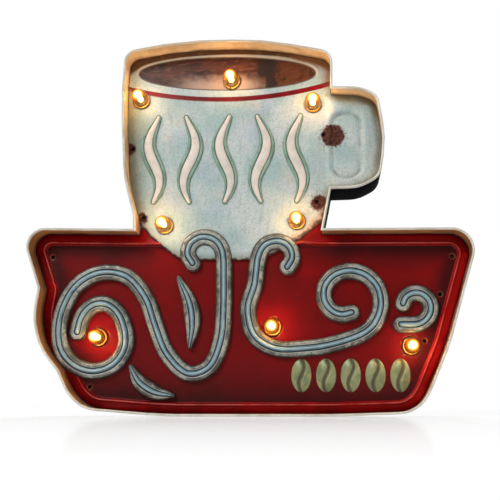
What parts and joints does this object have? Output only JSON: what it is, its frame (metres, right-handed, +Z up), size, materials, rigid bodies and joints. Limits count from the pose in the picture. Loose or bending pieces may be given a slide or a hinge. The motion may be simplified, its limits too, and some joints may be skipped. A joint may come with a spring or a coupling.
{
  "type": "light-up wall sign",
  "caption": "Light-up pressed-tin wall sign: a mug on a banner in a deep rim, with amber bulbs, raised scrollwork and a battery box behind.",
  "frame": {"origin": "middle of the depth under the middle of the bottom edge, where the sign rests", "axes": "+X to the viewer's right along the banner, +Y away from the viewer towards the wall, +Z up; the open, lit front faces -Y"},
  "size_m": [0.3993, 0.044, 0.3418],
  "materials": {
    "rim_enamel": "cream enamel inside and on the rolled hem, black outside, worn",
    "banner_enamel": "semi-gloss red enamel, aged",
    "mug_enamel": "satin pale blue-grey enamel with rust and speckle",
    "scroll_enamel": "weathered grey enamel with a pale blue bead",
    "ribbon_enamel": "sage green enamel with a cream core",
    "bean_enamel": "dull gold enamel",
    "plated_steel": "plain zinc-plated steel",
    "amber_glass": "clear amber",
    "brass_collar": "satin brass",
    "black_plastic": "moulded black",
    "door_plastic": "moulded black, lightly textured",
    "led_epoxy": "clear warm-white LED",
    "cell_wrap": "plain printed wrap over steel",
    "contact_metal": "nickel plated",
    "slider_plastic": "moulded off-white",
    "wire_red": "red PVC",
    "wire_black": "black PVC",
    "clip_plastic": "natural nylon"
  },
  "bodies": {
    "sign": {"rim_banner": "rim_enamel", "rim_waist": "rim_enamel", "rim_handle": "rim_enamel", "rim_mug": "rim_enamel", "banner_panel": "banner_enamel", "mug_panel": "mug_enamel", "scroll_left": "scroll_enamel", "scroll_leaves": "scroll_enamel", "scroll_right": "scroll_enamel", "scroll_tail": "scroll_enamel", "steam_ribbons": "ribbon_enamel", "bean_badges": "bean_enamel", "panel_brackets": "plated_steel", "hanger_left": "plated_steel", "hanger_right": "plated_steel", "rivets": "plated_steel", "bulb_globe_1": "amber_glass", "bulb_globe_2": "amber_glass", "bulb_globe_3": "amber_glass", "bulb_globe_4": "amber_glass", "bulb_globe_5": "amber_glass", "bulb_globe_6": "amber_glass", "bulb_globe_7": "amber_glass", "bulb_globe_8": "amber_glass", "bulb_collar_1": "brass_collar", "bulb_collar_2": "brass_collar", "bulb_collar_3": "brass_collar", "bulb_collar_4": "brass_collar", "bulb_collar_5": "brass_collar", "bulb_collar_6": "brass_collar", "bulb_collar_7": "brass_collar", "bulb_collar_8": "brass_collar", "lamp_holder_1": "black_plastic", "lamp_holder_2": "black_plastic", "lamp_holder_3": "black_plastic", "lamp_holder_4": "black_plastic", "lamp_holder_5": "black_plastic", "lamp_holder_6": "black_plastic", "lamp_holder_7": "black_plastic", "lamp_holder_8": "black_plastic", "battery_case": "black_plastic", "switch_body": "black_plastic", "led_1": "led_epoxy", "led_2": "led_epoxy", "led_3": "led_epoxy", "led_4": "led_epoxy", "led_5": "led_epoxy", "led_6": "led_epoxy", "led_7": "led_epoxy", "led_8": "led_epoxy", "battery_1": "cell_wrap", "battery_2": "cell_wrap", "contact_springs": "contact_metal", "contact_plates": "contact_metal", "wire_mug": "wire_red", "battery_leads": "wire_red", "wire_banner": "wire_black", "cable_clips": "clip_plastic"},
    "battery_door": {"battery_door": "door_plastic"},
    "switch_slider": {"switch_slider": "slider_plastic"}
  },
  "joints": [
    {"name": "door_slide", "type": "slide", "parent": "sign", "child": "battery_door", "axis": [-1, 0, 0], "range_m": [0, 0.062]},
    {"name": "switch_slide", "type": "slide", "parent": "sign", "child": "switch_slider", "axis": [0, 0, 1], "range_m": [0, 0.004]}
  ]
}
